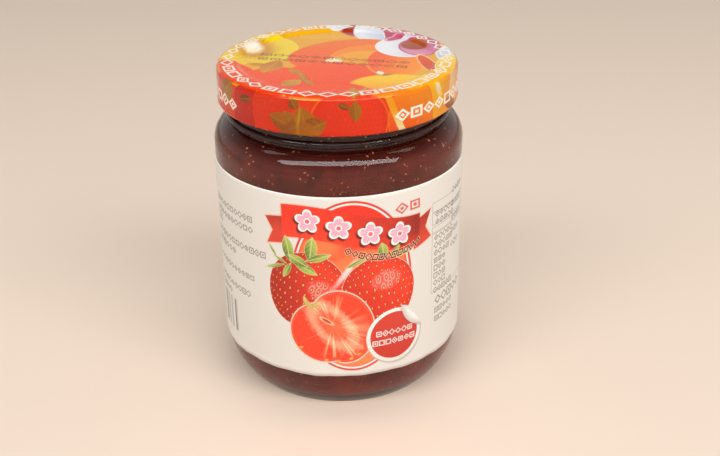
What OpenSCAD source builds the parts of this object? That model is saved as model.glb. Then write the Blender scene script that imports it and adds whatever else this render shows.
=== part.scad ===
// Glass jam jar with a lug lid, a wrap-round paper label and its jam.
// Millimetres. The jar stands on z = 0, centred on the Z axis; its front faces -Y.

/* [Jar] */
// Outside diameter of the body
body_d = 77; // [72:0.5:96]
// Height of the glass, from the table to the sealing rim
jar_h = 102.2; // [85:0.1:130]
// Thickness of the side wall
wall = 2.4; // [1.8:0.1:3.2]
// Thickness of the base
base_t = 4; // [3:0.1:5]
// Height at which the heel has become the straight wall
heel_h = 16.5; // [14:0.5:18]
// Radius of the heel, outside
heel_r = 24; // [20:0.5:30]
// Radius of the heel, inside
heel_in_r = 19; // [16:0.5:24]
// Radius of the shoulder, outside
shoulder_r = 7.8; // [6:0.1:9]
// Rounding of the edge that the jar stands on
foot_round = 1.2; // [0.6:0.1:1.6]
// Rounding of the corner between the floor and the heel, inside
floor_round = 3; // [1:0.5:4]
// Radius of the push-up under the base
punt_r = 29; // [22:0.5:29.5]
// Height of the push-up at its centre
punt_h = 2.5; // [1:0.1:4]

/* [Neck] */
// Outside diameter of the neck
neck_d = 66.8; // [54:0.1:68]
// Thickness of the glass in the neck
neck_wall = 2.5; // [2:0.1:3]
// Height from the crown of the shoulder to the sealing rim
neck_h = 15.3; // [13:0.1:19]
// Rounding of the sealing rim, and of the inner edge at the foot of the neck
rim_round = 0.7; // [0.3:0.1:1]
// Radius of the bead round the neck
bead_round = 1.1; // [0.8:0.1:1.4]
// Gap between the shoulder's crown and the bead
bead_gap = 0.1; // [0:0.1:1]
// Height of the thread ridges off the neck
thread_round = 0.9; // [0.6:0.1:1.1]
// Depth of the thread ridges' centre line inside the neck
thread_root = 0.4; // [0.2:0.1:0.8]
// Angle that one thread ridge runs round the neck
thread_sweep = 66; // [40:1:75]
// Slope of the thread ridges
thread_tilt = 2.2; // [1:0.1:3]
// Number of thread ridges, and of the lugs that grip them
lug_count = 4; // [3:1:6]

/* [Lid] */
// Height of the lid
lid_h = 11.5; // [10:0.1:14]
// Thickness of the sheet
sheet = 0.4; // [0.3:0.05:0.6]
// Room between the neck and the outer face of the skirt
skirt_room = 3; // [2.6:0.1:3.6]
// Rounding of the lid's top edge
edge_round = 1.8; // [1:0.1:2.5]
// Radius of the curl at the foot of the skirt
curl_round = 0.9; // [0.6:0.05:1.1]
// How far the curl stands out from the skirt
curl_out = 0.2; // [0:0.05:0.3]
// Depth of the sunk middle panel
panel_drop = 0.7; // [0.3:0.1:1]
// Width of the raised ring round the sunk panel
panel_margin = 6.5; // [6:0.1:7]
// Thickness of the sealing ring that the rim is pressed into
seal_t = 0.6; // [0.4:0.1:1]
// How far the sealing ring reaches past the neck, outside
seal_over = 0.8; // [0.3:0.1:1.2]
// How far the sealing ring reaches past the neck, inside
seal_in = 0.3; // [0:0.1:0.6]
// Height of a lug
lug_h = 2.1; // [1.6:0.1:2.6]
// Angle that a lug takes up round the lid
lug_sweep = 12; // [8:1:16]
// Clearance between a lug and the neck
lug_gap = 0.35; // [0.2:0.05:0.5]
// Clearance between a lug and the thread ridge above it
thread_gap = 0.25; // [0.15:0.05:0.5]

/* [Label] */
// Thickness of the paper
label_t = 0.15; // [0.1:0.05:0.3]
// Distance from the top of the straight wall down to the label
label_top_gap = 4.6; // [2:0.1:15]
// How far the label's lower edge stands off below the straight wall
label_lap = 2.4; // [0:0.1:3]
// Width of the bare strip between the label's two ends
label_end_gap = 3; // [1:0.5:20]

/* [Jam] */
// Distance from the sealing rim down to the jam
headspace = 8.2; // [4:0.1:14]

/* [Hidden] */
$fn = 180;

// How far a cut runs past a face, and how far two shapes that blend run into each other
over = 1;
lap = 0.02;

body_r = body_d / 2;
inner_r = body_r - wall;
neck_r = neck_d / 2;
bore_r = neck_r - neck_wall;
crown_z = jar_h - neck_h;
shoulder_z = crown_z - shoulder_r;
shoulder_x = body_r - shoulder_r;
throat_x = max(0, bore_r + rim_round - shoulder_x);
throat_z = shoulder_z + sqrt(pow(shoulder_r - wall, 2) - pow(throat_x, 2)) - lap;
bead_z = crown_z + bead_gap + bead_round;
jam_z = jar_h - headspace;
lid_r = neck_r + skirt_room;
lid_z = jar_h + seal_t + sheet - lid_h;
panel_r = lid_r - panel_margin;
lug_z = lid_z + curl_round;
thread_z = lug_z + lug_h + thread_gap + thread_round;
lug_pitch = 360 / lug_count;
back = 90;

// Outline of a bowl: an arc below its centre c, cut off level at z0, with that corner rounded.
module bowl(c, r, z0, round_r) {
    corner_x = c.x + sqrt(pow(r - round_r, 2) - pow(c.y - z0 - round_r, 2));
    corner = [corner_x, z0 + round_r];
    intersection() {
        translate(c) circle(r);
        polygon([c, c + 2 * (corner - c) * r / (r - round_r), [c.x + 2 * r, c.y]]);
    }
    translate(corner) circle(round_r);
    polygon([[0, z0], [corner.x, z0], corner, [c.x + r / 2, c.y], [0, c.y]]);
}

// Outline of a quarter-round shoulder that starts at radius x + r.
module shoulder(x, r) {
    square([x, r]);
    intersection() {
        translate([x, 0]) circle(r);
        translate([x, 0]) square(r);
    }
}

// Section of a shallow dome whose rim lies at height z.
module dome(r, h, z) {
    dome_r = (r * r + h * h) / (2 * h);
    intersection() {
        translate([0, z + h - dome_r]) circle(dome_r, $fn = 720);
        translate([0, z - over]) square([r, h + over]);
    }
}

// What is left between a square corner and its rounding, with the corner at the origin.
module corner_waste(r) {
    difference() {
        square(r);
        translate([r, r]) circle(r);
    }
}

module inside_outline() {
    difference() {
        union() {
            bowl([inner_r - heel_in_r, heel_h], heel_in_r, base_t, floor_round);
            translate([0, heel_h]) square([inner_r, shoulder_z - heel_h]);
            translate([0, shoulder_z]) shoulder(shoulder_x, shoulder_r - wall);
            translate([0, shoulder_z]) square([bore_r, jar_h - shoulder_z + over]);
            translate([bore_r, throat_z]) corner_waste(rim_round);
            translate([bore_r, jar_h]) mirror([0, 1]) corner_waste(rim_round);
        }
        dome(punt_r, punt_h, base_t);
    }
}

module glass_outline() {
    bowl([body_r - heel_r, heel_h], heel_r, 0, foot_round);
    translate([0, heel_h]) square([body_r, shoulder_z - heel_h]);
    translate([0, shoulder_z]) shoulder(shoulder_x, shoulder_r);
    translate([0, shoulder_z]) square([neck_r, jar_h - rim_round - shoulder_z]);
    translate([0, shoulder_z]) square([neck_r - rim_round, jar_h - shoulder_z]);
    translate([neck_r - rim_round, jar_h - rim_round]) circle(rim_round);
    translate([neck_r, bead_z]) circle(bead_round);
}

// One thread ridge: a sloping half-round, halfway along at angle 0.
module thread_ridge() {
    rotate([thread_tilt, 0, 0]) rotate(-thread_sweep / 2) rotate_extrude(angle = thread_sweep)
        translate([neck_r - thread_root, 0]) circle(thread_round + thread_root);
}

module jar() {
    color([0.84, 0.88, 0.80, 0.35]) difference() {
        union() {
            rotate_extrude() glass_outline();
            for (i = [0 : lug_count - 1])
                rotate(i * lug_pitch) translate([0, 0, thread_z]) thread_ridge();
        }
        rotate_extrude() inside_outline();
        rotate_extrude() dome(punt_r, punt_h, 0);
    }
}

module jam() {
    color([0.34, 0.08, 0.04]) rotate_extrude() intersection() {
        inside_outline();
        square([body_r, jam_z]);
    }
}

// Outline of the lid's outer or inner face: inset is how far inside the outer face it lies.
module lid_face(inset) {
    r = lid_r - inset;
    h = lid_h - inset;
    edge = edge_round - inset;
    difference() {
        union() {
            square([r, h - edge]);
            square([r - edge, h]);
            translate([r - edge, h - edge]) circle(edge);
        }
        polygon([
            [0, h + over], [0, h - panel_drop], [panel_r - panel_drop, h - panel_drop],
            [panel_r + panel_drop, h], [panel_r + panel_drop, h + over]
        ]);
    }
}

// Section of a lug: it stands on the curl and slopes up and in from the skirt.
module lug_section() {
    tip_x = neck_r + lug_gap;
    root_x = lid_r - sheet / 2;
    polygon([
        [root_x, curl_round / 2], [root_x, curl_round + lug_h],
        [tip_x, curl_round + lug_h], [tip_x, curl_round + lug_h - sheet * 2]
    ]);
}

module lid() {
    color([0.90, 0.27, 0.12]) translate([0, 0, lid_z]) {
        rotate_extrude() {
            difference() {
                lid_face(0);
                lid_face(sheet);
                square([lid_r + over, curl_round]);
            }
            translate([lid_r + curl_out - curl_round, curl_round]) circle(curl_round);
            translate([bore_r - seal_in, lid_h - sheet - seal_t])
                square([neck_wall + seal_in + seal_over, seal_t]);
        }
        for (i = [0 : lug_count - 1])
            rotate(i * lug_pitch - lug_sweep / 2) rotate_extrude(angle = lug_sweep) lug_section();
    }
}

module label() {
    foot_z = heel_h - label_lap;
    top_z = shoulder_z - label_top_gap;
    end_angle = label_end_gap / body_r * 180 / PI;
    color([0.90, 0.87, 0.83]) rotate(back + end_angle / 2) rotate_extrude(angle = 360 - end_angle)
        translate([body_r, foot_z]) square([label_t, top_z - foot_z]);
}

jar();
jam();
lid();
label();
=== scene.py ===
import math

import bpy
import numpy as np
from mathutils import Matrix, Vector


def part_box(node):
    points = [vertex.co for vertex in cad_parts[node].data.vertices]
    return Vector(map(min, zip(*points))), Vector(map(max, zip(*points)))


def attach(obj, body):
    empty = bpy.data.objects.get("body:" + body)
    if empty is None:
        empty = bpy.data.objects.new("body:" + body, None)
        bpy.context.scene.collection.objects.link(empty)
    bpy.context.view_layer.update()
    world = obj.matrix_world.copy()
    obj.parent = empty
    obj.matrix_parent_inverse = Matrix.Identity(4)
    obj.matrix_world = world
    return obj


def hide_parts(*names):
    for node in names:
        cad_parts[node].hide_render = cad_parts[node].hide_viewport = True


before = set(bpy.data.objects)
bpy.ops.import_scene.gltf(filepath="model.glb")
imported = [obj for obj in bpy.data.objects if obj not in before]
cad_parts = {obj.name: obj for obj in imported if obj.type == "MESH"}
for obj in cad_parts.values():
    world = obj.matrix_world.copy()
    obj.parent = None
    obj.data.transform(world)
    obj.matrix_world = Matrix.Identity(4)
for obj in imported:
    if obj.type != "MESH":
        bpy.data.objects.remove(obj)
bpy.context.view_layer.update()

mm = 0.001
tau = 2 * math.pi


# Shader wiring: a Wire is an output socket that can be written in sums

class Wire:
    def __init__(self, graph, socket):
        self.graph = graph
        self.socket = socket

    def __neg__(self):
        return self.graph.math("MULTIPLY", self, -1.0)

    def __abs__(self):
        return self.graph.math("ABSOLUTE", self)


def sumMethods(operation):
    def forward(wire, other):
        return wire.graph.math(operation, wire, other)

    def backward(wire, other):
        return wire.graph.math(operation, other, wire)

    return forward, backward


for sign, operation in (("add", "ADD"), ("sub", "SUBTRACT"), ("mul", "MULTIPLY"), ("truediv", "DIVIDE")):
    forward, backward = sumMethods(operation)
    setattr(Wire, f"__{sign}__", forward)
    setattr(Wire, f"__r{sign}__", backward)


class Graph:
    def __init__(self, tree):
        self.tree = tree

    def node(self, kind, **settings):
        made = self.tree.nodes.new(kind)
        for name, value in settings.items():
            setattr(made, name, value)
        return made

    def feed(self, socket, value):
        if isinstance(value, Wire):
            self.tree.links.new(value.socket, socket)
        elif value is not None:
            socket.default_value = value

    # Wires are linked, and other values are set on the inputs themselves
    def fill(self, made, values):
        for name, value in values.items():
            self.feed(made.inputs[name], value)

    def out(self, made, name=0):
        return Wire(self, made.outputs[name])

    def math(self, operation, a, b=None, c=None):
        made = self.node("ShaderNodeMath", operation=operation)
        for socket, value in zip(made.inputs, (a, b, c)):
            self.feed(socket, value)
        return self.out(made)

    def least(self, a, b):
        return self.math("MINIMUM", a, b)

    def most(self, a, b):
        return self.math("MAXIMUM", a, b)

    def split(self, vector):
        made = self.node("ShaderNodeSeparateXYZ")
        self.feed(made.inputs[0], vector)
        return [self.out(made, axis) for axis in range(3)]

    def length(self, x, y):
        return self.math("SQRT", self.math("MULTIPLY_ADD", x, x, self.math("MULTIPLY", y, y)))

    # 0 at start and 1 at end, held outside them. A linear one would need a clamp, which is worked
    # out too late, so that a long chain of shapes runs out of room.
    def ramp(self, value, start, end):
        made = self.node("ShaderNodeMapRange", interpolation_type="SMOOTHSTEP")
        self.fill(made, {"Value": value, "From Min": start, "From Max": end})
        return self.out(made)

    def mix(self, under, over, share):
        made = self.node("ShaderNodeMix", data_type="RGBA")
        self.fill(made, {0: share, 6: under, 7: over})
        return self.out(made, 2)

    # A place seen from a shape's own centre, turned with it, in half widths and half heights
    def local(self, place, centre, turn, width, height):
        dx, dy = place[0] - centre[0], place[1] - centre[1]
        if isinstance(turn, Wire):
            along, across = self.math("COSINE", turn), self.math("SINE", turn)
        else:
            along, across = math.cos(turn), math.sin(turn)
        x = self.math("MULTIPLY_ADD", dx, along / width, dy * (across / width))
        y = self.math("MULTIPLY_ADD", dy, along / height, dx * (-across / height))
        return x, y

    def objectPlace(self):
        return self.out(self.node("ShaderNodeTexCoord"), "Object")

    def noise(self, vector, scale, detail=2.0, roughness=0.5):
        made = self.node("ShaderNodeTexNoise")
        self.fill(made, {"Vector": vector, "Scale": scale, "Detail": detail, "Roughness": roughness})
        return self.out(made)

    # Noise along one line
    def ripple(self, value, detail=2.0):
        made = self.node("ShaderNodeTexNoise", noise_dimensions="1D")
        self.fill(made, {"W": value, "Scale": 1.0, "Detail": detail})
        return self.out(made)

    # Three random numbers for each whole number
    def chance(self, value):
        made = self.node("ShaderNodeTexWhiteNoise", noise_dimensions="1D")
        self.feed(made.inputs["W"], value)
        parts = self.node("ShaderNodeSeparateColor")
        self.feed(parts.inputs[0], self.out(made, "Color"))
        return [self.out(parts, axis) for axis in range(3)]

    def group(self, tree, name, values):
        made = self.node("ShaderNodeGroup", node_tree=tree)
        self.fill(made, values)
        return self.out(made, name)

    def bump(self, height, strength, distance):
        made = self.node("ShaderNodeBump")
        self.fill(made, {"Height": height, "Strength": strength, "Distance": distance})
        return self.out(made)


def rgb(code):
    # Linear colour from a web code
    parts = [int(code[i:i + 2], 16) / 255 for i in (0, 2, 4)]
    return [p / 12.92 if p <= 0.04045 else ((p + 0.055) / 1.055) ** 2.4 for p in parts] + [1.0]


def newGroup(name, inputs):
    tree = bpy.data.node_groups.new(name, "ShaderNodeTree")
    kinds = {"c": "NodeSocketColor", "f": "NodeSocketFloat"}
    for label, kind, value in inputs:
        socket = tree.interface.new_socket(label, in_out="INPUT", socket_type=kinds[kind])
        socket.default_value = value
    tree.interface.new_socket("Colour", in_out="OUTPUT", socket_type="NodeSocketColor")
    graph = Graph(tree)
    start = graph.node("NodeGroupInput")
    end = graph.node("NodeGroupOutput")
    return graph, {label: graph.out(start, label) for label, kind, value in inputs}, end.inputs["Colour"]


def newMaterial(name):
    material = bpy.data.materials.new(name)
    material.use_nodes = True
    return material, Graph(material.node_tree), material.node_tree.nodes["Principled BSDF"]


# Print: every shape is laid over the colour under it

white = (1, 1, 1, 1)
printEdge = 0.09  # half the softness of a printed edge, in mm
shapeInputs = [
    ("Under", "c", white), ("X", "f", 0.0), ("Y", "f", 0.0), ("CentreX", "f", 0.0), ("CentreY", "f", 0.0),
    ("Turn", "f", 0.0), ("Width", "f", 1.0), ("Height", "f", 1.0),
]
shadedInputs = shapeInputs + [
    ("Light", "c", white), ("Dark", "c", white), ("LeanX", "f", 0.0), ("LeanY", "f", 1.0),
    ("Rim", "c", white), ("RimWidth", "f", 0.0),
]


def startShape(name, inputs):
    g, given, end = newGroup(name, inputs)
    # A trace of the colour below, added to the place, keeps the shapes in turn. Without it the
    # shader runs out of room.
    below = g.node("ShaderNodeSeparateColor")
    g.feed(below.inputs[0], given["Under"])
    hold = g.out(below)
    place = [g.math("MULTIPLY_ADD", hold, 1e-7, given[axis]) for axis in ("X", "Y")]
    centre = given["CentreX"], given["CentreY"]
    x, y = g.local(place, centre, given["Turn"], given["Width"], given["Height"])
    return g, given, end, x, y


def smallerHalf(g, given):
    return g.least(given["Width"], given["Height"])


def layRim(g, given, colour, reach):
    rim = g.ramp(reach + given["RimWidth"], -printEdge, printEdge)
    rim = rim * g.math("GREATER_THAN", given["RimWidth"], 0.0)
    return g.mix(colour, given["Rim"], rim)


def makeRoundPrint():
    # A round or oval field that shades from one colour to another, with a rim
    g, given, end, x, y = startShape("roundPrint", shadedInputs + [("Soft", "f", printEdge)])
    reach = (g.length(x, y) - 1.0) * smallerHalf(g, given)
    mask = g.ramp(reach, given["Soft"], -given["Soft"])
    shade = g.ramp(x * given["LeanX"] + y * given["LeanY"], -1.0, 1.0)
    inside = layRim(g, given, g.mix(given["Dark"], given["Light"], shade), reach)
    g.feed(end, g.mix(given["Under"], inside, mask))
    return g.tree


def makeLeafPrint():
    # A pointed leaf along its own Y, with a pale midrib and faint side veins
    g, given, end, x, y = startShape("leafPrint", shadedInputs + [("Vein", "c", white)])
    reach = (abs(x) + y * y - 1.0) * smallerHalf(g, given)
    mask = g.ramp(reach, printEdge, -printEdge)
    shade = g.ramp(x * given["LeanX"] + y * given["LeanY"], -1.0, 1.0)
    body = g.mix(given["Dark"], given["Light"], shade)
    ribs = g.ramp(g.math("SINE", (y + abs(x) * 0.5) * 16.0), 0.5, 1.0)
    body = g.mix(body, given["Vein"], ribs * 0.25)
    body = g.mix(body, given["Vein"], g.ramp(abs(x), 0.16, 0.03) * 0.8)
    g.feed(end, g.mix(given["Under"], layRim(g, given, body, reach), mask))
    return g.tree


def makeBerryPrint():
    # A whole strawberry, stalk end at +Y, with seeds in dark pits and a shiny patch
    g, given, end, x, y = startShape("berryPrint", shadedInputs + [
        ("Seed", "c", white), ("Spacing", "f", 2.0), ("ShineX", "f", 0.0), ("ShineY", "f", 0.0),
        ("ShineColour", "c", white),
    ])
    across = x / (y * 0.14 + 0.9)
    far = g.length(across, y + abs(across) * 0.1)
    reach = (far - 1.0) * smallerHalf(g, given)
    mask = g.ramp(reach, printEdge, -printEdge)
    # Staggered rows of seeds, crowded together towards the outline as on a round fruit
    crowd = (far * far * far * 0.4 + 1.0) / given["Spacing"]
    rowPlace = y * crowd * (given["Height"] * 0.85)
    row = g.math("FLOOR", rowPlace)
    columnPlace = across * crowd * given["Width"] + g.math("FRACT", row * 0.5)
    column = g.math("FLOOR", columnPlace)
    one, two, three = g.chance(row * 31.0 + column)
    dx = columnPlace - column - one * 0.3 - 0.35
    dy = rowPlace - row - two * 0.3 - 0.35
    distance = g.length(dx * 1.5, dy * 0.9)
    pit = g.ramp(distance, 0.36, 0.12)
    shade = g.ramp(x * given["LeanX"] + y * given["LeanY"], -0.9, 0.9)
    skin = g.mix(given["Dark"], given["Light"], shade)
    skin = g.mix(skin, given["Dark"], g.ramp(far, 0.7, 1.05) * 0.6)
    shiny = g.length((x - given["ShineX"]) / 0.33, (y - given["ShineY"]) / 0.24)
    halo = g.ramp(abs(distance - 0.42), 0.2, 0.04) * 0.75 + 0.2
    skin = g.mix(skin, given["ShineColour"], g.ramp(shiny, 1.3, 0.7) * halo)
    skin = g.mix(skin, given["Dark"], pit * 0.75)
    skin = g.mix(skin, given["Seed"], g.ramp(distance, 0.18, 0.08) * (three * 0.4 + 0.6))
    g.feed(end, g.mix(given["Under"], layRim(g, given, skin, reach), mask))
    return g.tree


def makeMarkPrint():
    # Rows of small plain marks that stand where lettering would be: Width and Height are the pitch
    # of one mark and one row, and Centre is the left end of the first row
    g, given, end, x, y = startShape("markPrint", shapeInputs + [
        ("Ink", "c", white), ("Count", "f", 5.0), ("Rows", "f", 1.0), ("Tall", "f", 0.84),
        ("Ragged", "f", 0.0), ("Strength", "f", 1.0), ("Weight", "f", 0.07),
    ])
    down = 0.5 - y
    row = g.math("FLOOR", down)
    up = (0.5 - (down - row)) / given["Tall"]
    cell = g.math("FLOOR", x)
    within = x - cell - 0.5
    start = given["CentreX"] * 3.7 + given["CentreY"] * 7.1
    one, two, three = g.chance(cell + row * 61.0 + g.math("FLOOR", start))
    shorter, _, _ = g.chance(row + start)
    thick = given["Weight"]

    # Each is a small ring with or without a dot, square or stood on its corner
    across, high = abs(within), abs(up)
    square = g.most(across, high)
    shape = square + ((across + high) * 0.82 - square) * g.math("GREATER_THAN", two, 0.4)
    marks = g.ramp(abs(shape - (one * 0.08 + 0.3)) - thick, 0.03, -0.03)
    marks = g.most(marks, g.ramp(shape - 0.13, 0.03, -0.03) * g.math("GREATER_THAN", three, 0.4))
    last = given["Count"] - g.math("FLOOR", shorter * given["Ragged"])
    marks = marks * g.math("LESS_THAN", x, last) * g.math("GREATER_THAN", x, 0.0)
    marks = marks * g.math("LESS_THAN", down, given["Rows"]) * g.math("GREATER_THAN", down, 0.0)
    g.feed(end, g.mix(given["Under"], given["Ink"], marks * given["Strength"]))
    return g.tree


def makeBarPrint():
    # The outline of a rectangle
    g, given, end, x, y = startShape("barPrint", shapeInputs + [
        ("Ink", "c", white), ("Strength", "f", 1.0), ("Line", "f", 0.2),
    ])
    reach = g.most((abs(x) - 1.0) * given["Width"], (abs(y) - 1.0) * given["Height"])
    line = g.ramp(abs(reach + given["Line"]) - given["Line"] * 0.5, printEdge, -printEdge)
    g.feed(end, g.mix(given["Under"], given["Ink"], line * given["Strength"]))
    return g.tree


def makeBlossomPrint():
    # A five-petalled blossom with a pale outline and a soft shadow to its lower left
    g, given, end, x, y = startShape("blossomPrint", shapeInputs + [
        ("Petal", "c", white), ("Outline", "c", white), ("Eye", "c", white), ("Shadow", "c", white),
    ])

    def petals(px, py):
        wave = abs(g.math("COSINE", g.math("ARCTAN2", px, py) * 2.5))
        return g.length(px, py) / (wave * 0.36 + 0.64)

    shade = g.ramp(petals(x + 0.13, y + 0.16), 1.16, 0.9)
    under = g.mix(given["Under"], given["Shadow"], shade * 0.85)
    reach = petals(x, y)
    under = g.mix(under, given["Outline"], g.ramp(reach, 1.03, 0.97))
    vein = g.ramp(g.math("COSINE", g.math("ARCTAN2", x, y) * 15.0), 0.7, 1.0)
    vein = vein * g.ramp(reach, 0.25, 0.5) * 0.35
    under = g.mix(under, g.mix(given["Petal"], given["Outline"], vein), g.ramp(reach, 0.84, 0.78))
    far = g.length(x, y)
    under = g.mix(under, given["Outline"], g.ramp(far, 0.3, 0.24))
    g.feed(end, g.mix(under, given["Eye"], g.ramp(far, 0.2, 0.14)))
    return g.tree


roundPrint = makeRoundPrint()
leafPrint = makeLeafPrint()
berryPrint = makeBerryPrint()
markPrint = makeMarkPrint()
barPrint = makeBarPrint()
blossomPrint = makeBlossomPrint()


class Artwork:
    # Lays shapes one over another: centres and sizes in mm on the flat sheet, turns in degrees
    def __init__(self, graph, place, ground):
        self.graph = graph
        self.place = place
        self.colour = rgb(ground)

    def lay(self, tree, centre, size, turn=0.0, place=None, **values):
        x, y = place or self.place
        given = {
            "Under": self.colour, "X": x, "Y": y, "CentreX": centre[0], "CentreY": centre[1],
            "Turn": math.radians(turn), "Width": size[0], "Height": size[1],
        }
        for label, value in values.items():
            given[label] = rgb(value) if isinstance(value, str) else value
        self.colour = self.graph.group(tree, "Colour", given)

    def field(self, mask, colour):
        over = rgb(colour) if isinstance(colour, str) else colour
        self.colour = self.graph.mix(self.colour, over, mask)


print("print groups ready")


# Meshes

def meshPiece(name, points, faces, material=None):
    mesh = bpy.data.meshes.new(name)
    mesh.from_pydata(points, [], faces)
    mesh.update()
    mesh.polygons.foreach_set("use_smooth", [True] * len(mesh.polygons))
    piece = bpy.data.objects.new(name, mesh)
    bpy.context.scene.collection.objects.link(piece)
    if material:
        mesh.materials.append(material)
    return piece


def setFlatPlace(piece, uvName, flats):
    # One flat position in mm for each point
    layer = piece.data.uv_layers.new(name=uvName)
    corners = [flats[loop.vertex_index] for loop in piece.data.loops]
    layer.data.foreach_set("uv", [value for corner in corners for value in corner])


def readFlatPlace(graph, uvName):
    return graph.out(graph.node("ShaderNodeUVMap", uv_map=uvName))


def arc(centre, radius, start, end, steps):
    angles = [math.radians(start + (end - start) * i / steps) for i in range(steps + 1)]
    return [(centre[0] + radius * math.cos(a), centre[1] + radius * math.sin(a)) for a in angles]


def ease(t):
    return t * t * (3 - 2 * t)


# Lid

lidLow, lidHigh = (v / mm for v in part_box("lid"))
lidSet = {
    "steps": 256,
    "radius": lidHigh.x - 0.2,  # the curl stands out from the skirt
    "top": lidHigh.z,
    "foot": lidLow.z,
    "sheet": 0.4,
    "edgeRound": 1.8,
    "curlRound": 0.9,
    "panelRadius": lidHigh.x - 6.9,
    "panelDrop": 0.7,
    "panelSlope": 0.9,
}


def lidOutline(inset, steps):
    # Half section of one face of the sheet, from the centre out and down to the curl
    s = lidSet
    top = s["top"] - inset
    radius = s["radius"] - inset
    edge = s["edgeRound"] - inset
    line = [(r, top - s["panelDrop"]) for r in np.linspace(0, s["panelRadius"] - s["panelSlope"], steps)]
    for i in range(1, 13):
        t = i / 12
        r = s["panelRadius"] + s["panelSlope"] * (2 * t - 1)
        line.append((r, top - s["panelDrop"] * (1 - ease(t))))
    line += arc((radius - edge, top - edge), edge, 90, 0, 12)
    line += [(radius, z) for z in np.linspace(top - edge, s["foot"] + s["curlRound"] + 0.6, 8)[1:]]
    return line


def buildLid(printed, lacquer):
    s = lidSet
    outside = lidOutline(0, 14)
    curl = arc((lidHigh.x - s["curlRound"], s["foot"] + s["curlRound"]), s["curlRound"], 0, -230, 20)
    profile = outside + curl + lidOutline(s["sheet"], 6)[::-1]
    # Distance along the sheet from the centre, so that the artwork runs over the edge
    along = [0.0]
    for (r0, z0), (r1, z1) in zip(profile, profile[1:]):
        along.append(along[-1] + math.hypot(r1 - r0, z1 - z0))
    points = []
    flats = []
    for (r, z), reach in zip(profile, along):
        for k in range(s["steps"]):
            angle = tau * k / s["steps"]
            points.append((r * mm * math.cos(angle), r * mm * math.sin(angle), z * mm))
            flats.append((reach * math.cos(angle), reach * math.sin(angle)))
    faces = []
    slots = []
    last = len(profile) - 2
    for j in range(last + 1):
        for k in range(s["steps"]):
            a = j * s["steps"] + k
            b = j * s["steps"] + (k + 1) % s["steps"]
            c, d = b + s["steps"], a + s["steps"]
            faces.append((a, d, c) if j == 0 else (a, d, b) if j == last else (a, d, c, b))
            slots.append(int(j > len(outside) + 9))
    piece = meshPiece("lidPiece", points, faces, printed)
    piece.data.materials.append(lacquer)
    piece.data.polygons.foreach_set("material_index", slots)
    setFlatPlace(piece, "blank", flats)
    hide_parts("lid")
    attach(piece, "root")
    return piece


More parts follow.
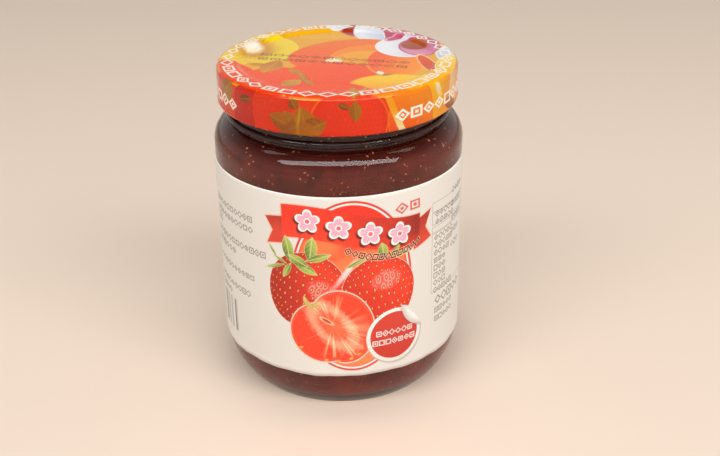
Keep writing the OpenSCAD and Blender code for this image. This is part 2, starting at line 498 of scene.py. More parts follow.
# Print on the lid, in mm. On the top: from its centre, +Y to the back. On the skirt: round it from
# the middle of the front, and above the table.
# Each shape: centre, half size, turn, light, dark, lean, and a rim and its width if it has one.
# A berry ends with the spacing of its seeds. A leaf has no lean, and names its vein only where
# it isn't the usual one.
lidArt = {
    "ground": "ecb45c",
    "skirtRadius": 36.6,  # at which the skirt is unrolled
    "ringRadius": 33.4,  # and the ring of marks
    "edge": (35.4, 36.6),  # where the top's print gives way to the skirt's
    "slice": (-26.0, 12.0),  # heart of the yellow slice
    # painted shade: the upright skirt is darkened, as it gets less light than the top
    "skirtPaintedShade": ("6c1000", 0.26),
    "boost": 1.24,
    "marksInk": "fff6ea",
    "leafLook": ((0, 1), "e0a878"),  # lean and usual vein
    "skirtLeafLook": ((1, 0), "b08450"),
    "rearFields": [
        ((-5, 36), (17, 14), 0, "e4a850", "f0bc68", (0, 1)),
        ((-25.5, 12), (13.6, 14.5), 0, "f6da66", "f0cc58", (0.6, 0.6), "f8e080", 0.5),
    ],
    "fields": [
        ((24, 27), (16, 15), 0, "c88a98", "b8707e", (0.6, 0.6)),
        ((4.6, 33), (4.2, 9.5), 12, "b46458", "9c443c", (0.5, 0), "c87888", 0.7),
        ((0.5, 35), (4.0, 5.5), -8, "f0f0f2", "d8dce4", (-1, 0)),
        ((10.6, 25.5), (4.8, 8.6), 14, "f0f2f6", "cfd6e0", (-0.8, 0.2), "e8dce4", 0.35),
        ((36, 1), (6, 9), 0, "dde2ea", "b8c2d0", (0, 1), "eeeef2", 0.5),
        ((3.0, 5.4), (19.0, 14.5), 28, "f87c3c", "f86a34", (1.2, 0.5), "fca058", 0.4),
        ((7.4, 6.6), (10.4, 6.6), 34, "fc9444", "fa8840", (0, 1.2)),
        ((6.4, 1.5), (9.0, 6.2), 30, "f8b04c", "f4a444", (0.5, 0.7), "f8a048", 0.3),
        ((-1.0, -1.2), (2.6, 2.8), -10, "fff4dc", "ffe0a0", (0, 1)),
        ((-1.0, -13.0), (14.0, 10.5), -14, "fb6844", "f65a38", (-0.6, 0.6), "fc8060", 0.3),
        ((17.4, -2.6), (8.8, 14.6), -3, "ff9c54", "fa6a3a", (1.3, -0.5), "ffb478", 0.5),
        ((21.2, 11.5), (9.2, 10.4), 14, "f4f4f8", "cdd2de", (-1.2, 0.3), "f8f0f4", 0.5),
        ((25.8, 11.0), (6.6, 8.8), 8, "e0a4ba", "b45c78", (-0.4, -0.9), "c87890", 0.6),
        ((24.4, 13.4), (4.6, 4.9), 0, "b8684a", "984838", (0.4, 0.8), "c87c88", 0.4),
        ((19.4, 21.6), (5.6, 2.0), 42, "d88498", "b86078", (0.5, 0.5), "f0ccd6", 0.4),
        ((27.0, -5.4), (2.3, 9.6), 12, "e85c34", "d04c2c", (0, 1), "ffd8b0", 0.3),
        ((35, -9), (6, 10), -14, "fbdc84", "eeb44c", (-0.4, 0.6), "fbe8b0", 0.4),
        ((17.5, -25), (14.5, 10.4), -8, "fcd474", "f9a04c", (0, 1.2), "ffb070", 0.4),
        ((33, -26), (9, 12), -30, "fdcc64", "f9a848", (0.3, 0.8), "ffe0a0", 0.3),
        ((15, -36), (13, 5.5), 16, "f98c48", "f5683a", (0.4, 0.9)),
    ],
    "berries": [
        ((-32, -13), (9.5, 13.5), 24, "f96848", "ee4c2e", (0.3, 0.8), "fb8a68", 0.3, 1.9),
        ((-17.5, -19), (11.5, 13.5), 10, "fb6c48", "f04c2e", (0.3, 0.8), "fb8a68", 0.3, 2.0),
        ((-2.5, -31), (14, 10.5), -8, "fa6440", "ec4626", (0, 1), "fb8a68", 0.0, 2.0),
        ((-27, -30), (8, 9), 40, "f65c3a", "e84422", (0, 1), "fb8a68", 0.0, 2.0),
    ],
    "leaves": [
        ((-19.6, -5.2), (3.4, 6.2), 158, "d49a5c", "c0804a", "e0a878", 0.2),
        ((-24.0, -3.0), (1.3, 3.4), 70, "d49a5c", "c0804a"),
        ((-12.4, -10.4), (1.5, 2.9), 40, "cc9458", "b07c44"),
        ((-10.0, -16.0), (1.1, 6.6), 14, "c89054", "ac7840"),
        ((-8.0, -20.6), (0.9, 2.8), 30, "c89054", "ac7840"),
        ((-13.2, -20.6), (2.6, 3.6), -50, "d4a468", "bc8850", "e0a878", 0.2),
        ((14.4, -14.9), (0.8, 2.6), -74, "b89058", "8c6c44"),
        ((12.5, -13.3), (1.1, 2.0), 12, "fff8e8", "d8d0a0", "fff8e8"),
        ((4.4, -31.0), (1.7, 5.4), 0, "cc9450", "b07c40"),
        ((7.0, -29.0), (0.9, 4.0), -14, "cc9450", "b07c40"),
    ],
    "skirtFields": [
        ((0, 95.5), (200, 6.9), 0, "ee4424", "e83a1c", (0, 1)),
        ((36, 97), (9.0, 11), 0, "ffcc58", "f88a34", (-0.6, 0.4)),
        ((46, 97), (6.0, 9), 0, "fbe0b0", "f8a058", (-0.6, 0.4)),
        ((22.5, 95), (8.2, 12), 0, "fca050", "f04a22", (0.4, 1.1), "fa7a38", 0.3),
        ((33.4, 100.5), (1.5, 3.4), 24, "fff4dc", "ffe0a0", (0, 1), "ffdc80", 0.5),
    ],
    "skirtBerries": [
        ((-42, 95), (9, 10), 0, "ee5434", "dc3c1e", (0, 1), "f88060", 0.2, 1.8),
        ((-29, 95), (7, 10), 0, "d8260e", "c01c08", (0, 1), "e84a30", 0.0, 1.6),
        ((-19.5, 97), (7.5, 10), 0, "f04426", "dc2c12", (-0.5, 0.5), "f46040", 0.2, 1.7),
        ((3.2, 95.5), (12.6, 10.5), 0, "f2401e", "e02c10", (0.6, 0.6), "f87c50", 0.4, 1.55),
    ],
    "skirtLeaves": [
        ((-39.5, 99.8), (3.4, 5.0), -40, "b08450", "96703c", "c09058"),
        ((-29.6, 99.6), (1.3, 2.8), -78, "8c4c24", "6c3416"),
        ((-12.6, 101.0), (1.6, 1.9), 30, "9c6838", "7c4a24"),
        ((-9.6, 96.0), (3.5, 4.4), 12, "b0733a", "94592a"),
        ((-7.2, 94.6), (2.8, 4.4), -66, "aa6c34", "8c5226"),
        ((-13.2, 94.8), (3.6, 4.6), 32, "b0733a", "94592a"),
        ((-16.2, 95.4), (2.6, 4.6), 70, "aa6c34", "8c5226"),
        ((-11.5, 92.6), (5.4, 4.6), 4, "a86a32", "8c5226"),
        ((-11.2, 97.4), (0.45, 3.6), -8, "c8a058", "b08844"),
        ((4.8, 99.2), (1.7, 3.2), 4, "a87434", "8c5c28"),
        ((1.6, 100.8), (1.0, 2.0), 66, "96562a", "7c4020"),
        ((41.0, 94.2), (1.9, 4.6), 76, "b06c38", "8c4c26"),
    ],
}


def shaded(light, dark, lean, rim="ffffff", width=0.0):
    return {"Light": light, "Dark": dark, "LeanX": lean[0], "LeanY": lean[1], "Rim": rim, "RimWidth": width}


def layAll(art, fields, berries=(), leaves=(), leafLook=None, place=None):
    for centre, size, turn, *look in fields:
        art.lay(roundPrint, centre, size, turn, place, **shaded(*look))
    for centre, size, turn, *look, spacing in berries:
        art.lay(berryPrint, centre, size, turn, place, Seed=look[1], Spacing=spacing, ShineX=5.0,
                **shaded(*look))
    for centre, size, turn, light, dark, *rim in leaves:
        lean, vein = leafLook
        rim = rim or [vein]
        art.lay(leafPrint, centre, size, turn, place, Vein=rim[0], **shaded(light, dark, lean, *rim))


def laySlice(g, art):
    # A yellow fruit slice: soft pale core, darker round it, with fine spokes
    art.lay(roundPrint, (-25.4, 12.0), (5.8, 8.0), 6, Light="dc9c40", Dark="d08c30", Soft=2.2)
    art.lay(roundPrint, (-26.2, 13.0), (3.2, 5.2), 6, Light="fffaf0", Dark="fff0cc", Soft=1.5)
    ax, ay = g.local(art.place, lidArt["slice"], 0.0, 1.0, 1.0)
    spokes = g.ramp(g.math("SINE", g.math("ARCTAN2", ax, ay) * 40.0), 0.2, 1.0)
    far = g.length(ax, ay)
    art.field(spokes * g.ramp(far, 5.5, 7.0) * g.ramp(far, 11.0, 8.0) * 0.5, "c08238")


def makeLidPrint(skirtTop):
    a = lidArt
    material, g, shader = newMaterial("lidPrint")
    place = readFlatPlace(g, "blank")
    grain = g.noise(place, 2.2, 3.0)
    scuff = g.noise(place, 0.35, 2.0)
    x, y, _ = g.split(place)
    reach = g.length(x, y)
    angle = g.math("ARCTAN2", x, -y)
    art = Artwork(g, (x, y), a["ground"])
    layAll(art, a["rearFields"])
    laySlice(g, art)
    layAll(art, a["fields"], a["berries"], a["leaves"], a["leafLook"])
    skirt = angle * a["skirtRadius"], skirtTop - reach
    top = art.colour
    art.colour = rgb(a["ground"])
    layAll(art, a["skirtFields"], a["skirtBerries"], a["skirtLeaves"], a["skirtLeafLook"], skirt)
    # A pale crescent where two fruits meet
    bend = skirt[0] - 16.2 - (98.0 - skirt[1]) * 0.42
    crescent = g.mix(rgb("f9a83e"), rgb("fdeab8"), g.ramp(reach, 38.0, 47.0))
    art.field(g.ramp(abs(bend) - 1.1, 0.15, -0.15), crescent)
    # Painted shade: the whole skirt is darkened a little towards deep red, for the lesser light on its
    # upright side
    dark, share = a["skirtPaintedShade"]
    art.field(share, dark)
    art.colour = g.mix(top, art.colour, g.ramp(reach, *a["edge"]))
    # Marks round the rim and along the skirt
    ring = angle * a["ringRadius"], reach * -1.0
    art.lay(markPrint, (-104.9, -33.2), (5.83, 4.6), 0, ring, Ink=a["marksInk"], Count=36.0, Strength=0.88,
            Weight=0.085)
    for start, count in ((16.4, 9.0), (-53.5, 4.0)):
        art.lay(markPrint, (start, 96.3), (5.0, 4.4), 0, skirt, Ink=a["marksInk"], Count=count, Strength=0.9,
                Weight=0.09)
    # Two lines of small dark marks stamped across the middle
    art.lay(markPrint, (-23.4, 6.9), (3.9, 4.0), -14, Ink="241c18", Count=12.0, Rows=2.0, Tall=0.66,
            Strength=0.7, Weight=0.075)
    strong = g.node("ShaderNodeHueSaturation")
    worn = g.mix(art.colour, white, g.ramp(grain, 0.3, 0.9) * 0.04)
    g.fill(strong, {"Color": worn, "Saturation": a["boost"]})
    g.fill(shader, {
        "Base Color": g.out(strong), "Roughness": g.ramp(scuff, -0.6, 3.0), "Specular IOR Level": 0.25,
        "Coat Weight": 0.25, "Coat Roughness": 0.1, "Normal": g.bump(scuff, 0.06, 0.0002),
    })
    return material


def makeLacquer():
    material, g, shader = newMaterial("lidLacquer")
    wear = g.noise(g.objectPlace(), 900.0, 2.0)
    g.fill(shader, {"Base Color": g.mix(rgb("e8dcc0"), rgb("d8c8a4"), wear), "Roughness": 0.35})
    return material


lidOutside = lidOutline(0, 14)
skirtTop = lidOutside[-1][1] + sum(math.dist(a, b) for a, b in zip(lidOutside, lidOutside[1:]))
buildLid(makeLidPrint(skirtTop), makeLacquer())
print("lid ready")


# Label

labelLow, labelHigh = (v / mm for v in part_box("label"))
labelSet = {
    "radius": -labelLow.x,
    "thickness": 0.15,
    "foot": labelLow.z,
    "top": labelHigh.z,
    "endGap": 3.0,
    "steps": 400,
    "rows": 48,
    "footWave": 0.2,  # how unevenly the lower edge is cut
    "footLift": 0.22,  # how far the lower edge stands off where the jar rounds in
    "liftHeight": 4.0,
}


def labelWave(u):
    return math.sin(u * 0.16 + 0.6) * 0.5 + math.sin(u * 0.41 + 2.0) * 0.32 + math.sin(u * 0.93) * 0.18


def buildLabel(material):
    s = labelSet
    half = math.pi * s["radius"] - s["endGap"] / 2
    points = []
    flats = []
    for inset in (0.0, s["thickness"]):
        for j in range(s["rows"] + 1):
            t = j / s["rows"]
            for k in range(s["steps"] + 1):
                u = -half + 2 * half * k / s["steps"]
                foot = s["foot"] + s["footWave"] * (labelWave(u) + 0.6)
                z = foot + (s["top"] - foot) * t
                low = max(0.0, 1 - (z - s["foot"]) / s["liftHeight"])
                lift = s["footLift"] * low * low * (0.6 + 0.8 * labelWave(u + 9.0))
                r = s["radius"] - inset + max(lift, -0.02)
                angle = u / s["radius"]
                points.append((r * mm * math.sin(angle), -r * mm * math.cos(angle), z * mm))
                flats.append((u, z))
    across = s["steps"] + 1
    layer = across * (s["rows"] + 1)
    faces = []
    for j in range(s["rows"]):
        for k in range(s["steps"]):
            a = j * across + k
            faces.append((a, a + 1, a + 1 + across, a + across))
            faces.append((a + layer, a + across + layer, a + 1 + across + layer, a + 1 + layer))
    top = s["rows"] * across
    for k in range(s["steps"]):
        faces.append((k, k + layer, k + 1 + layer, k + 1))
        faces.append((top + k, top + k + 1, top + k + 1 + layer, top + k + layer))
    for j in range(s["rows"]):
        a = j * across
        b = a + s["steps"]
        faces.append((a, a + across, a + across + layer, a + layer))
        faces.append((b, b + layer, b + across + layer, b + across))
    piece = meshPiece("labelPiece", points, faces, material)
    setFlatPlace(piece, "flat", flats)
    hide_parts("label")
    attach(piece, "root")
    return piece


# Print on the label: mm round the jar from the middle of the front, and mm above the table
labelArt = {
    "paper": "e6e2dc",
    "oval": {"centre": (3.2, 44.7), "half": (18.9, 28.6)},
    "ribbon": {"middle": 63.3, "swing": 3.0, "from": -12.0, "pace": math.pi / 36, "half": 5.2},
    "blossoms": [(-9.7, 66.6), (-0.6, 64.8), (8.6, 62.3), (17.8, 60.7)],
    "leaves": [
        # centre, half size, turn
        ((-21.2, 55.6), (0.45, 2.6), 34), ((-18.8, 53.0), (0.5, 2.6), 66),
        ((-20.6, 50.4), (0.6, 3.8), 110), ((-16.0, 57.0), (1.8, 4.4), 10), ((-8.9, 57.6), (1.9, 4.2), -8),
        ((-16.6, 49.8), (1.0, 3.0), 152), ((-6.8, 54.9), (1.2, 4.2), -72),
        ((-10.8, 51.2), (1.5, 4.2), -118), ((-13.0, 53.4), (1.6, 3.6), 62),
        ((12.4, 56.4), (1.6, 2.6), 8), ((16.4, 55.8), (0.7, 2.6), -44),
        ((4.6, 53.2), (0.7, 4.0), -66), ((18.6, 54.2), (0.8, 3.4), -86),
    ],
    "flesh": {"heart": (-3.0, 32.0), "turn": -50, "half": (8.6, 4.2)},
    "sticker": (16.3, 26.6),
    "boxes": [(65.1, 1.7), (61.3, 2.1), (57.6, 1.1), (46.1, 10.3)],  # middle and half height
    "bars": {"centre": (-45.4, 25.2), "half": (5.6, 5.8), "perMm": 2.4, "ink": "6e645c"},
    "smallInk": "7c746e",
    "smallPrint": [
        # left end, height of the first row, marks, rows, pitch of marks and rows, ragged
        (-52.0, 63.0, 10, 2, 2.35, 3.5, 0), (-52.0, 56.4, 2, 1, 2.35, 3.5, 0),
        (-52.0, 52.6, 12, 1, 2.35, 3.4, 0), (-52.0, 49.2, 6, 1, 2.35, 3.4, 0),
        (-51.0, 43.0, 10, 1, 2.2, 3.4, 0), (-52.0, 36.6, 9, 2, 2.3, 3.3, 8),
        (31.6, 62.6, 5, 2, 2.2, 2.6, 0), (31.2, 54.8, 5, 8, 2.2, 2.6, 3),
        (41.0, 67.0, 4, 5, 2.2, 4.6, 2), (32.0, 32.8, 5, 1, 3.5, 4.2, 0),
        (32.0, 29.2, 6, 2, 2.2, 3.1, 2), (66.0, 62.0, 16, 11, 2.35, 3.6, 9),
        (-108.0, 62.0, 18, 11, 2.35, 3.6, 11),
    ],
}


def makeLabelPrint():
    a = labelArt
    material, g, shader = newMaterial("labelPrint")
    place = readFlatPlace(g, "flat")
    tooth = g.noise(place, 2.6, 4.0, 0.6)
    patch = g.noise(place, 0.9, 3.0, 0.6)
    u, v, _ = g.split(place)
    art = Artwork(g, (u, v), a["paper"])
    ribbon = shapeRibbon(g, u, v)
    for end in ribbon["parts"]:
        art.field(g.ramp(end - 0.35, printEdge, -printEdge) * 0.8, "f9b4a4")
    layOval(g, art)
    layRibbon(g, art, u, v, ribbon)

    # Two whole fruit, with their leaves
    berryRim = {"Rim": "f8ccc0", "RimWidth": 0.14, "Spacing": 2.7}
    art.lay(berryPrint, (-10.8, 43.6), (13.6, 13.2), -24, Light="f8402a", Dark="b02416", LeanX=0.75,
            LeanY=0.5, Seed="f8cc60", ShineX=0.34, ShineY=0.16, ShineColour="fb9a8c", **berryRim)
    art.lay(berryPrint, (11.5, 42.4), (12.9, 12.4), 8, Light="ff4228", Dark="c42a1a", LeanX=0.5,
            LeanY=0.3, Seed="fbd468", ShineX=0.2, ShineY=0.3, ShineColour="fda092", **berryRim)
    art.lay(roundPrint, (0.9, 49.6), (0.75, 5.0), -36, Light="fdeeea", Dark="f8b8b0", Soft=0.5)
    for spot, size, turn in a["leaves"]:
        art.lay(leafPrint, spot, size, turn, Light="b0c058", Dark="6c8028", LeanX=0.8, Vein="d4dc98",
                Rim="d6dca8", RimWidth=0.08)
    layCutFruit(g, art, patch)
    for spot in a["blossoms"]:
        art.lay(blossomPrint, spot, (3.9, 3.9), 0, Petal="f2aec4", Outline="fff4f2", Eye="e86a70",
                Shadow="3c0c08")
    laySwash(g, art, u, v)
    laySticker(g, art)
    layFinePrint(g, art, u, v)

    # Painted highlight: a bright band along the top edge, where the cut edge catches the light
    art.field(g.ramp(v, labelSet["top"] - 0.42, labelSet["top"] - 0.3), "fffaf2")
    colour = g.mix(art.colour, rgb("d6cec2"), g.ramp(tooth, 0.45, 0.8) * 0.12)
    g.fill(shader, {
        "Base Color": colour, "Roughness": g.ramp(tooth, -1.2, 1.6), "Specular IOR Level": 0.35,
        "Normal": g.bump(tooth, 0.12, 0.0001),
    })
    return material


def layOval(g, art):
    # Two red lines round a red field, with a glow behind the fruit
    centre, half = labelArt["oval"]["centre"], labelArt["oval"]["half"]
    rounds = (0.0, "dc4230", "dc4230"), (0.7, "f8ebe4", "f8ebe4"), (1.3, "ff3420", "fb7a50")
    for inset, light, dark in rounds:
        art.lay(roundPrint, centre, (half[0] - inset, half[1] - inset), Light=light, Dark=dark, LeanY=1.5)
    inside = g.length(*g.local(art.place, centre, 0.0, half[0] - 1.4, half[1] - 1.4))
    inside = g.ramp(inside, 1.0, 0.97)
    glows = ((8.0, 52.0), 17.0, 7.0, 0.1), ((-8.0, 58.0), 10.0, 4.0, 0.05), ((9.0, 21.0), 9.0, 4.5, 0.5)
    for spot, wide, tall, turn in glows:
        near = g.length(*g.local(art.place, spot, turn, wide, tall))
        art.field(g.ramp(near, 1.15, 0.45) * inside * 0.75, "ff8c50")


def shapeRibbon(g, u, v):
    # Distances outside a band on a wave and the notched end behind each side of it
    r = labelArt["ribbon"]
    middle = g.math("COSINE", (u - r["from"]) * r["pace"]) * r["swing"] + r["middle"]
    height = v - middle
    left = g.most(g.most(-23.2 - u, u + 17.0), abs(height + 3.0) - 4.3)
    left = g.most(left, 2.4 - abs(height + 3.2) * 0.52 - (u + 23.2))
    tail = height - (u - 22.8) * 0.3
    right = g.most(g.most(22.8 - u, u - 29.6), abs(tail + 1.6) - 4.6)
    right = g.most(right, 2.4 - abs(tail + 1.4) * 0.5 - (29.6 - u))
    body = g.most(g.most(-17.6 - u, u - 24.9), abs(height) - r["half"])
    return {"height": height, "parts": (left, right, body)}


def layRibbon(g, art, u, v, ribbon):
    height = ribbon["height"]
    left, right, body = ribbon["parts"]
    for end in (left, right):
        colour = g.mix(rgb("de4630"), rgb("b43020"), g.ramp(height, -5.0, 4.0))
        art.field(g.ramp(end, printEdge, -printEdge), colour)
    colour = g.mix(rgb("f23820"), rgb("cc3220"), g.ramp(u, -4.0, 12.0))
    colour = g.mix(colour, rgb("982418"), g.ramp(u, 15.0, 24.9))
    colour = g.mix(colour, rgb("fa4a30"), g.ramp(height, 1.0, -5.0) * 0.5)
    art.field(g.ramp(body, printEdge, -printEdge), colour)


def layCutFruit(g, art, patch):
    # Half a fruit: two rounds make the notched outline, with pale flesh round the heart
    place = art.place
    one = g.length(*g.local(place, (-5.4, 29.8), 0.1, 10.7, 10.4))
    two = g.length(*g.local(place, (-0.2, 31.6), 0.22, 9.7, 12.5))
    reach = (g.least(one, two) - 1.0) * 10.0
    art.field(g.ramp(reach, 0.5, 0.25), "f9ccb8")
    f = labelArt["flesh"]
    hx, hy = g.local(place, f["heart"], math.radians(f["turn"]), *f["half"])
    far = g.length(hx, hy)
    # Rays: noise round the heart, sharpened, so that they fan out
    around = g.math("ARCTAN2", hy, hx)
    ray = g.ripple(g.math("SINE", around) * 6.0 + g.math("COSINE", around) * 3.0)
    ray = g.ramp(ray, 0.5, 0.66)
    flesh = g.mix(rgb("ff5230"), rgb("f0341a"), patch)
    rays = ray * g.ramp(far, 2.9, 1.1) * g.ramp(reach, -0.5, -1.8)
    flesh = g.mix(flesh, rgb("fbb484"), rays)
    ring = g.ramp(abs(far - 1.0) + (patch - 0.5) * 0.7, 0.55, 0.05)
    flesh = g.mix(flesh, rgb("fdd2a6"), ring * (ray * 0.5 + 0.5))
    flesh = g.mix(flesh, rgb("f07048"), g.ramp(far + (patch - 0.5) * 0.9, 0.8, 0.4) * 0.8)
    slit = g.length(*g.local(place, (-4.8, 33.8), math.radians(-30), 2.1, 0.6))
    flesh = g.mix(flesh, rgb("f9b890"), g.ramp(slit, 1.5, 1.1))
    flesh = g.mix(flesh, rgb("cc4c34"), g.ramp(slit, 0.9, 0.6))
    flesh = g.mix(flesh, rgb("ff6648"), g.ramp(abs(reach + 0.45), 0.3, 0.1) * 0.6)
    art.field(g.ramp(reach, printEdge, -printEdge), flesh)
    for spot in ((-5.2, 19.9), (-1.6, 19.6), (2.4, 20.4), (-13.0, 23.6), (4.9, 21.8)):
        art.lay(roundPrint, spot, (0.65, 0.42), 20, Light="f8bc60", Dark="ec9040", Soft=0.15)
    for spot, turn in (((-9.8, 38.8), 30), ((-8.0, 39.2), -60), ((-11.0, 40.0), 18)):
        art.lay(leafPrint, spot, (0.7, 2.0), turn, Light="dcc474", Dark="c09a48", Vein="ecdc98")


def laySwash(g, art, u, v):
    # Dark slanting marks on a dipping line under the ribbon, and two red ones beside it
    drop = (u - 12.6) * (u - 12.6) * 0.021 + 54.3 - (u - 12.6) * 0.055
    height = v - drop
    bent = u - height * 0.35, height
    for ink, strength, weight in (("fbc8a8", 0.7, 0.17), ("2c1a10", 0.95, 0.085)):
        art.lay(markPrint, (1.0, 0.0), (2.0, 3.0), 0, bent, Ink=ink, Count=12.0, Strength=strength,
                Weight=weight)
    art.lay(markPrint, (16.2, 68.6), (4.6, 4.6), 2, Ink="e24a38", Count=2.0, Strength=0.95, Weight=0.07)


def laySticker(g, art):
    # Round sticker with a pale border, one corner peeled back
    spot = labelArt["sticker"]
    shadow = spot[0] + 0.2, spot[1] - 0.4
    art.lay(roundPrint, shadow, (9.4, 9.5), Light="cfc8be", Dark="bdb5aa", Soft=0.5)
    art.lay(roundPrint, spot, (9.2, 9.3), Light="f9f3ee", Dark="efe6de")
    art.lay(roundPrint, spot, (8.0, 8.1), Light="d83e30", Dark="cd382a", Rim="b03a2e", RimWidth=0.15)
    for start, height, count in ((-6.3, 1.3, 6), (-7.5, -1.9, 7)):
        art.lay(markPrint, (spot[0] + start, spot[1] + height), (2.1, 2.6), 0, Ink="fdeee8",
                Count=float(count), Strength=0.85, Weight=0.085)
    # Beyond the fold the label shows again, and the fold itself is the sticker's pale back
    place = art.place
    dx, dy = g.local(place, spot, math.radians(41), 1.0, 1.0)
    sag = dy * dy * 0.06
    whole = g.ramp(g.length(*g.local(place, spot, 0.0, 9.9, 10.0)), 1.02, 0.98)
    art.field(g.ramp(dx - sag, 4.6, 6.2) * whole * 0.4, "7c2018")
    back = g.mix(rgb("fbf8f4"), rgb("cfc8c2"), g.ramp(dx - sag, 8.4, 5.8))
    art.field(g.ramp(dx - sag, 5.75, 5.95) * whole, back)
    art.field(g.ramp(dx + sag * 0.4, 8.6, 8.8) * whole, labelArt["paper"])


def layFinePrint(g, art, u, v):
    for start, height, count, rows, pitch, drop, ragged in labelArt["smallPrint"]:
        art.lay(markPrint, (start, height), (pitch, drop), 0, Ink=labelArt["smallInk"], Count=float(count),
                Rows=float(rows), Tall=min(0.95, pitch / drop), Ragged=float(ragged), Strength=0.8,
                Weight=0.08)
    # Lined boxes round the small print at the right
    for middle, tall in labelArt["boxes"]:
        art.lay(barPrint, (41.6, middle), (11.4, tall), 0, Ink=labelArt["smallInk"], Strength=0.75, Line=0.16)
    # Stripes at the lower left
    bars = labelArt["bars"]
    inked, _, _ = g.chance(g.math("FLOOR", u * bars["perMm"]) + 0.3)
    block = g.most(abs(u - bars["centre"][0]) - bars["half"][0], abs(v - bars["centre"][1]) - bars["half"][1])
    art.field(g.math("GREATER_THAN", inked, 0.5) * g.ramp(block, 0.05, -0.05) * 0.7, bars["ink"])


buildLabel(makeLabelPrint())
print("label ready")


# Jam

jamSet = {
    "reach": 0.15,  # how far the jam runs into the wall, so that no air gap shows
    "seedCount": 1100,
    "seedLength": (0.3, 0.6),  # half lengths, in mm
    "seedDepth": 0.19,
    "bubbleCount": 700,
    "bubbleRadius": (0.08, 0.24),
    "bubbleDepth": 0.03,
    # painted shade: between these heights the jam's colour is darkened, as if shaded
    "shoulder": (0.064, 0.078),  # heights between which the jam darkens, in metres
    "throat": (0.079, 0.0855),
}


def jamMaterial():
    material, g, shader = newMaterial("jam")
    place = g.objectPlace()
    lumps = g.noise(place, 95.0, 4.0, 0.6)
    fine = g.noise(place, 420.0, 3.0, 0.6)
    _, _, height = g.split(place)
    colour = g.mix(rgb("66170b"), rgb("8a2b17"), g.ramp(lumps, 0.3, 0.72))
    colour = g.mix(colour, rgb("a8482a"), g.ramp(fine, 0.56, 0.85) * 0.6)
    colour = g.mix(colour, rgb("4a140c"), g.ramp(g.noise(place, 160.0, 3.0), 0.56, 0.75) * 0.7)
    # Painted shade: darker towards the shoulder, and most in the throat, where the lid shades the jam
    colour = g.mix(colour, rgb("30100a"), g.ramp(height, *jamSet["shoulder"]) * 0.5)
    colour = g.mix(colour, rgb("200503"), g.ramp(height, *jamSet["throat"]) * 0.88)
    g.fill(shader, {
        "Base Color": colour, "Roughness": 0.4, "Specular IOR Level": 0.04, "Subsurface Weight": 0.25,
        "Subsurface Radius": (1.0, 0.2, 0.1), "Subsurface Scale": 0.002,
    })
    return material


def buildJam(material):
    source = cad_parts["jam"].data
    points = np.array([v.co for v in source.vertices])
    # Join the corners that share a place, so that one normal serves them all
    keys = {}
    index = []
    for p in points:
        key = tuple(np.round(p / 1e-7).astype(int))
        index.append(keys.setdefault(key, len(keys)))
    joined = np.zeros((len(keys), 3))
    for i, p in zip(index, points):
        joined[i] = p
    faces = []
    for polygon in source.polygons:
        corners = []
        for v in polygon.vertices:
            if index[v] not in corners:
                corners.append(index[v])
        if len(corners) > 2:
            faces.append(corners)
    piece = meshPiece("jamPiece", joined.tolist(), faces, material)
    outward = np.array([v.normal for v in piece.data.vertices])
    moved = joined + outward * jamSet["reach"] * mm
    piece.data.vertices.foreach_set("co", moved.ravel())
    piece.data.update()
    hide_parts("jam")
    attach(piece, "root")
    return piece


def sampleSurface(piece, count, seed):
    # Random places on the sides of the jam, with the surface's direction at each
    rng = np.random.default_rng(seed)
    mesh = piece.data
    mesh.calc_loop_triangles()
    corners = np.array([[mesh.vertices[v].co for v in t.vertices] for t in mesh.loop_triangles])
    cross = np.cross(corners[:, 1] - corners[:, 0], corners[:, 2] - corners[:, 0])
    area = np.linalg.norm(cross, axis=1)
    direction = cross / np.maximum(area, 1e-15)[:, None]
    area[np.abs(direction[:, 2]) > 0.97] = 0
    chosen = rng.choice(len(area), count, p=area / area.sum())
    a, b = rng.random(count), rng.random(count)
    flip = a + b > 1
    a[flip], b[flip] = 1 - a[flip], 1 - b[flip]
    t = corners[chosen]
    spots = t[:, 0] + (t[:, 1] - t[:, 0]) * a[:, None] + (t[:, 2] - t[:, 0]) * b[:, None]
    return spots, direction[chosen], rng


def ballTemplate(rings, sides):
    points = [(0, 0, 1.0)]
    for i in range(1, rings):
        tilt = math.pi * i / rings
        points += [
            (math.sin(tilt) * math.cos(tau * k / sides), math.sin(tilt) * math.sin(tau * k / sides),
             math.cos(tilt))
            for k in range(sides)
        ]
    points.append((0, 0, -1.0))
    faces = [(0, 1 + k, 1 + (k + 1) % sides) for k in range(sides)]
    for i in range(rings - 2):
        for k in range(sides):
            a = 1 + i * sides + k
            b = 1 + i * sides + (k + 1) % sides
            faces.append((a, a + sides, b + sides, b))
    last = len(points) - 1
    base = last - sides
    faces += [(last, base + (k + 1) % sides, base + k) for k in range(sides)]
    return np.array(points), faces


def scatterGrains(name, spots, directions, sizes, turns, depth, material, rings=6, sides=8):
    # One joined mesh of small ovals that lie flat in the surface
    template, templateFaces = ballTemplate(rings, sides)
    points = []
    faces = []
    for spot, direction, size, turn in zip(spots, directions, sizes, turns):
        out = Vector(direction)
        side = out.orthogonal().normalized()
        side.rotate(Matrix.Rotation(turn, 3, out))
        basis = np.array([side, out.cross(side), out])
        placed = (template * size) @ basis + spot + np.array(out) * depth
        start = len(points)
        points += placed.tolist()
        faces += [tuple(start + i for i in face) for face in templateFaces]
    piece = meshPiece(name, points, faces, material)
    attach(piece, "root")
    return piece


def grainMaterial(name, low, high, scale, roughness):
    material, g, shader = newMaterial(name)
    colour = g.mix(rgb(low), rgb(high), g.noise(g.objectPlace(), scale, 1.0))
    g.fill(shader, {"Base Color": colour, "Roughness": roughness})
    return material


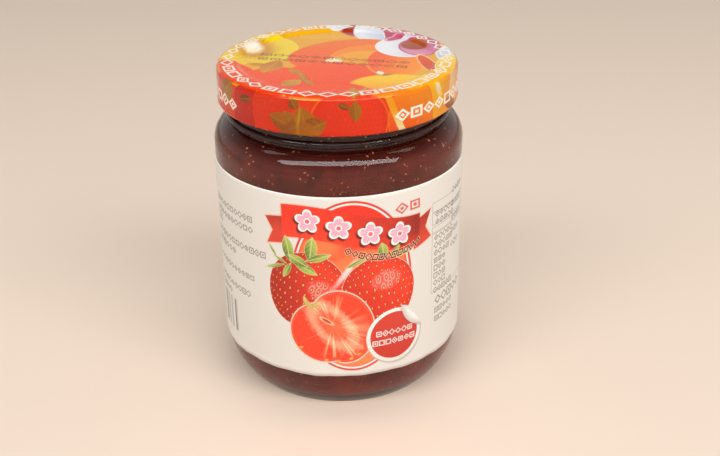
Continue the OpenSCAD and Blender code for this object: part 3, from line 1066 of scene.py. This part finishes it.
def scatterJamGrains(jam):
    spots, directions, rng = sampleSurface(jam, jamSet["seedCount"], 11)
    n = len(spots)
    longer = rng.uniform(*jamSet["seedLength"], n) * mm
    sizes = np.stack([longer, longer * rng.uniform(0.55, 0.75, n), np.full(n, 0.26 * mm)], 1)
    turns = rng.uniform(0, tau, n)
    material = grainMaterial("jamSeed", "9c4422", "c87840", 260.0, 0.4)
    scatterGrains("jamSeeds", spots, directions, sizes, turns, -jamSet["seedDepth"] * mm, material)
    spots, directions, rng = sampleSurface(jam, jamSet["bubbleCount"], 23)
    n = len(spots)
    radius = rng.uniform(*jamSet["bubbleRadius"], n) * mm
    sizes = np.stack([radius, radius * rng.uniform(0.6, 1.0, n), radius * 0.5], 1)
    turns = rng.uniform(0, tau, n)
    material = grainMaterial("jamBubble", "8c4630", "c08c74", 900.0, 0.3)
    scatterGrains("jamBubbles", spots, directions, sizes, turns, -jamSet["bubbleDepth"] * mm, material)


scatterJamGrains(buildJam(jamMaterial()))
print("jam ready")


# Glass

glassSet = {
    "ior": 1.45,
    "shadow": (0.95, 0.97, 0.93, 1),  # how much light its shadow lets through
    "tint": (0.86, 0.84, 0.55, 1),
    "tintDensity": 6.0,
}


def makeGlass():
    s = glassSet
    material, g, shader = newMaterial("jarGlass")
    g.fill(shader, {
        "Base Color": white, "Transmission Weight": 1.0, "IOR": s["ior"],
        "Roughness": g.ramp(g.noise(g.objectPlace(), 55.0, 2.0), -1.0, 9.0),
    })
    clear = g.node("ShaderNodeBsdfTransparent")
    g.fill(clear, {"Color": s["shadow"]})
    lamps = g.node("ShaderNodeLightPath")
    either = g.node("ShaderNodeMixShader")
    g.feed(either.inputs[0], g.out(lamps, "Is Shadow Ray"))
    g.tree.links.new(shader.outputs[0], either.inputs[1])
    g.tree.links.new(clear.outputs[0], either.inputs[2])
    output = g.tree.nodes["Material Output"]
    g.tree.links.new(either.outputs[0], output.inputs["Surface"])
    tint = g.node("ShaderNodeVolumeAbsorption")
    g.fill(tint, {"Color": s["tint"], "Density": s["tintDensity"]})
    g.tree.links.new(tint.outputs[0], output.inputs["Volume"])
    return material


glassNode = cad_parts["jar"]
glassNode.data.materials.clear()
glassNode.data.materials.append(makeGlass())
print("glass ready")


# Floor, light and camera

roomSet = {
    "floorSize": 6.0,
    "floor": (0.92, 0.765, 0.635, 1),
    "low": (0.74, 0.71, 0.67, 1),  # soft light from all round
    "high": (0.08, 0.075, 0.07, 1),  # and from straight above
    "lampColour": (1.0, 0.985, 0.975),
    "lamps": [
        # name, place, turn in degrees, size, power, seen in reflections
        ("front", (0.0, -0.72, 1.1), (34.7, 0, 0), (2.5, 0.42), 18.5, True),
        ("overhead", (0.0, 0.10, 1.1), (0, 0, 0), (1.9, 0.26), 2.4, True),
        ("side", (0.75, -0.8, 0.55), (65, 0, 43), (0.7, 0.6), 1.6, False),
    ],
}


def buildRoom():
    s = roomSet
    half = s["floorSize"] / 2
    corners = [(-half, -half, 0), (half, -half, 0), (half, half, 0), (-half, half, 0)]
    floor = meshPiece("floor", corners, [(0, 1, 2, 3)])
    material, g, shader = newMaterial("paleFloor")
    shadeLow = [c * 0.98 for c in s["floor"][:3]] + [1]
    colour = g.mix(shadeLow, s["floor"], g.noise(g.objectPlace(), 5.0, 3.0))
    g.fill(shader, {"Base Color": colour, "Roughness": 0.6})
    floor.data.materials.append(material)
    world = bpy.data.worlds.new("softRoom")
    world.use_nodes = True
    air = Graph(world.node_tree)
    _, _, rise = air.split(air.out(air.node("ShaderNodeTexCoord"), "Generated"))
    tone = air.mix(s["low"], s["high"], air.ramp(rise, 0.1, 0.8))
    air.feed(world.node_tree.nodes["Background"].inputs["Color"], tone)
    bpy.context.scene.world = world
    for name, place, turn, size, power, mirrored in s["lamps"]:
        light = bpy.data.lights.new(name, "AREA")
        light.shape = "RECTANGLE"
        light.size, light.size_y = size
        light.energy = power
        light.color = s["lampColour"]
        thing = bpy.data.objects.new(name, light)
        thing.location = place
        thing.rotation_euler = [math.radians(a) for a in turn]
        thing.visible_glossy = mirrored
        bpy.context.scene.collection.objects.link(thing)


cameraSet = {
    "place": (0.0, -0.31814, 0.20455),
    "down": 26.56,  # degrees below level
    "aside": 1.13,  # degrees towards +X
    "lean": -0.73,
    "lens": 54.65,
}


def buildCamera():
    s = cameraSet
    lens = bpy.data.cameras.new("camera")
    lens.lens = s["lens"]
    lens.sensor_width = 36.0
    lens.clip_start = 0.01
    camera = bpy.data.objects.new("camera", lens)
    camera.matrix_world = (
        Matrix.Translation(s["place"])
        @ Matrix.Rotation(math.radians(-s["aside"]), 4, "Z")
        @ Matrix.Rotation(math.radians(90 - s["down"]), 4, "X")
        @ Matrix.Rotation(math.radians(s["lean"]), 4, "Z")
    )
    bpy.context.scene.collection.objects.link(camera)
    bpy.context.scene.camera = camera


buildRoom()
buildCamera()
bpy.context.scene.view_settings.view_transform = "Standard"
print("room ready")
